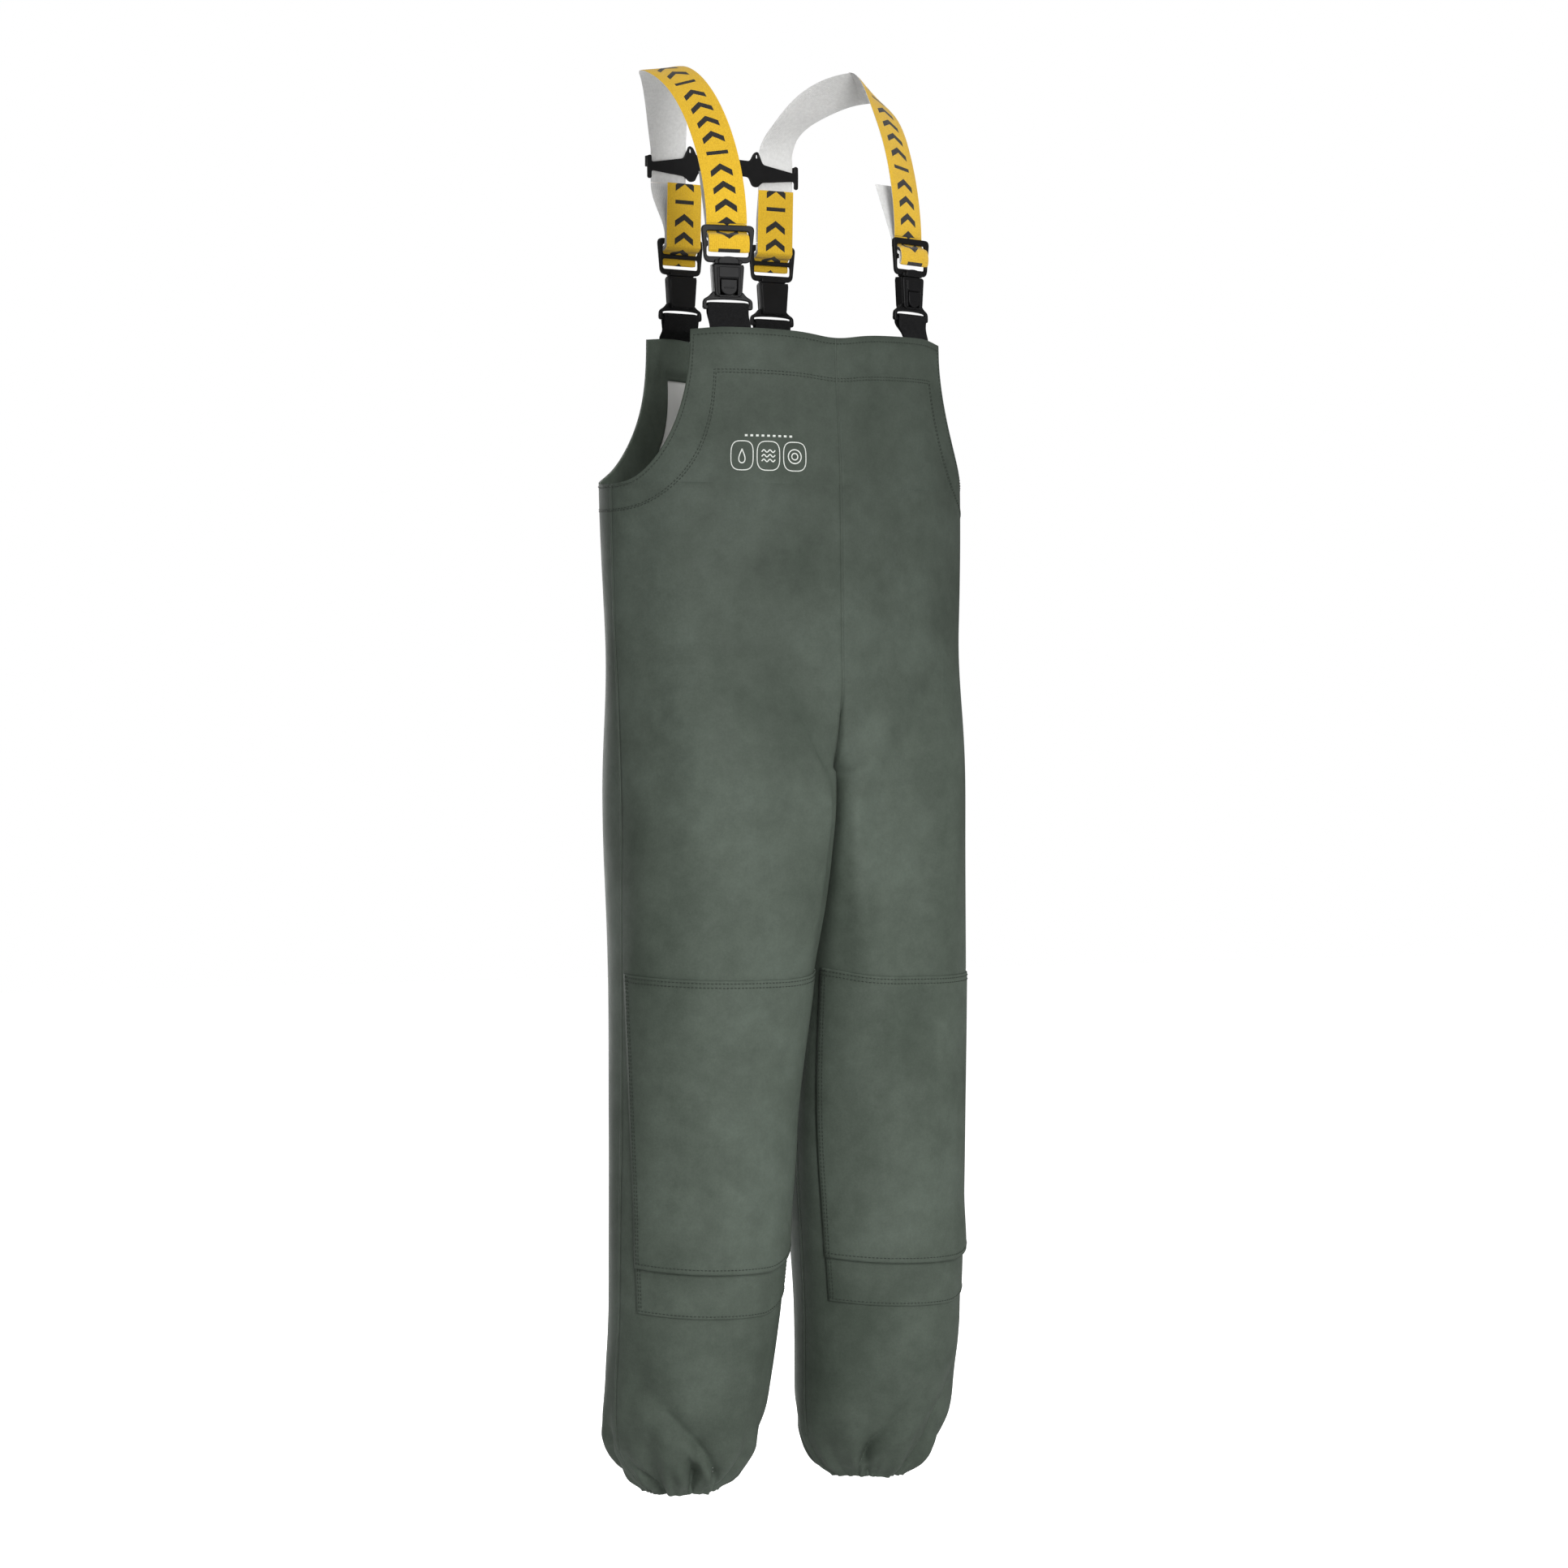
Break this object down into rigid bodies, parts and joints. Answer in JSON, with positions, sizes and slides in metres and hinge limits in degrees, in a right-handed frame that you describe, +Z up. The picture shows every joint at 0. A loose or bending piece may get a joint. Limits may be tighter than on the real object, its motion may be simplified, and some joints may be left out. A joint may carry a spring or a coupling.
{
  "type": "bib-and-brace waterproof overalls",
  "caption": "Full-length waterproof bib overalls with elastic shoulder straps, release clips, a back yoke, knee patches and gathered ankles.",
  "frame": {"origin": "middle of the line under both straps at the shoulders, where the overalls hang from", "axes": "+Z up, -Y is the wearer's front, so the wearer's right side is -X"},
  "size_m": [0.4404, 0.2595, 1.5344],
  "materials": {
    "cloth": "matte",
    "facing": "matte",
    "elastic": "matte",
    "strap": "matte",
    "webbing": "matte",
    "clip_plastic": "satin"
  },
  "bodies": {
    "garment": {"panel_front_right": "cloth", "facing_front_right": "facing", "panel_back_right": "cloth", "facing_back_right": "facing", "knee_patch_right": "cloth", "knee_band_right": "cloth", "hem_casing_right": "cloth", "hem_elastic_right": "elastic", "panel_front_left": "cloth", "facing_front_left": "facing", "panel_back_left": "cloth", "facing_back_left": "facing", "knee_patch_left": "cloth", "knee_band_left": "cloth", "hem_casing_left": "cloth", "hem_elastic_left": "elastic", "webbing_stub_front_right": "webbing", "clip_housing_front_right": "clip_plastic", "webbing_stub_back_right": "webbing", "clip_housing_back_right": "clip_plastic", "webbing_stub_front_left": "webbing", "clip_housing_front_left": "clip_plastic", "webbing_stub_back_left": "webbing", "clip_housing_back_left": "clip_plastic"},
    "harness": {"yoke": "clip_plastic", "strap_front_right": "strap", "strap_shoulder_right": "strap", "strap_back_right": "strap", "strap_front_left": "strap", "strap_shoulder_left": "strap", "strap_back_left": "strap"},
    "clip_front_right": {"adjuster_front_right": "clip_plastic", "strap_tail_front_right": "strap"},
    "tab_front_right": {"release_tab_front_right": "clip_plastic"},
    "clip_back_right": {"adjuster_back_right": "clip_plastic", "strap_tail_back_right": "strap"},
    "tab_back_right": {"release_tab_back_right": "clip_plastic"},
    "clip_front_left": {"adjuster_front_left": "clip_plastic", "strap_tail_front_left": "strap"},
    "tab_front_left": {"release_tab_front_left": "clip_plastic"},
    "clip_back_left": {"adjuster_back_left": "clip_plastic", "strap_tail_back_left": "strap"},
    "tab_back_left": {"release_tab_back_left": "clip_plastic"}
  },
  "joints": [
    {"name": "harness_lift", "type": "slide", "parent": "garment", "child": "harness", "axis": [0, 0, 1], "range_m": [0, 0.05]},
    {"name": "strap_adjust_front_right", "type": "slide", "parent": "harness", "child": "clip_front_right", "axis": [0, 0, 1], "range_m": [0, 0.015], "deforming": ["strap_front_right"]},
    {"name": "tab_press_front_right", "type": "slide", "parent": "garment", "child": "tab_front_right", "axis": [0.2588, 0.9659, 0], "range_m": [0, 0.0016], "stiffness_N_per_m": 400},
    {"name": "strap_adjust_back_right", "type": "slide", "parent": "harness", "child": "clip_back_right", "axis": [0, 0, 1], "range_m": [0, 0.015], "deforming": ["strap_back_right"]},
    {"name": "tab_press_back_right", "type": "slide", "parent": "garment", "child": "tab_back_right", "axis": [0.0349, -0.9994, 0], "range_m": [0, 0.0016], "stiffness_N_per_m": 400},
    {"name": "strap_adjust_front_left", "type": "slide", "parent": "harness", "child": "clip_front_left", "axis": [0, 0, 1], "range_m": [0, 0.015], "deforming": ["strap_front_left"]},
    {"name": "tab_press_front_left", "type": "slide", "parent": "garment", "child": "tab_front_left", "axis": [-0.2588, 0.9659, 0], "range_m": [0, 0.0016], "stiffness_N_per_m": 400},
    {"name": "strap_adjust_back_left", "type": "slide", "parent": "harness", "child": "clip_back_left", "axis": [0, 0, 1], "range_m": [0, 0.015], "deforming": ["strap_back_left"]},
    {"name": "tab_press_back_left", "type": "slide", "parent": "garment", "child": "tab_back_left", "axis": [-0.0349, -0.9994, 0], "range_m": [0, 0.0016], "stiffness_N_per_m": 400}
  ]
}
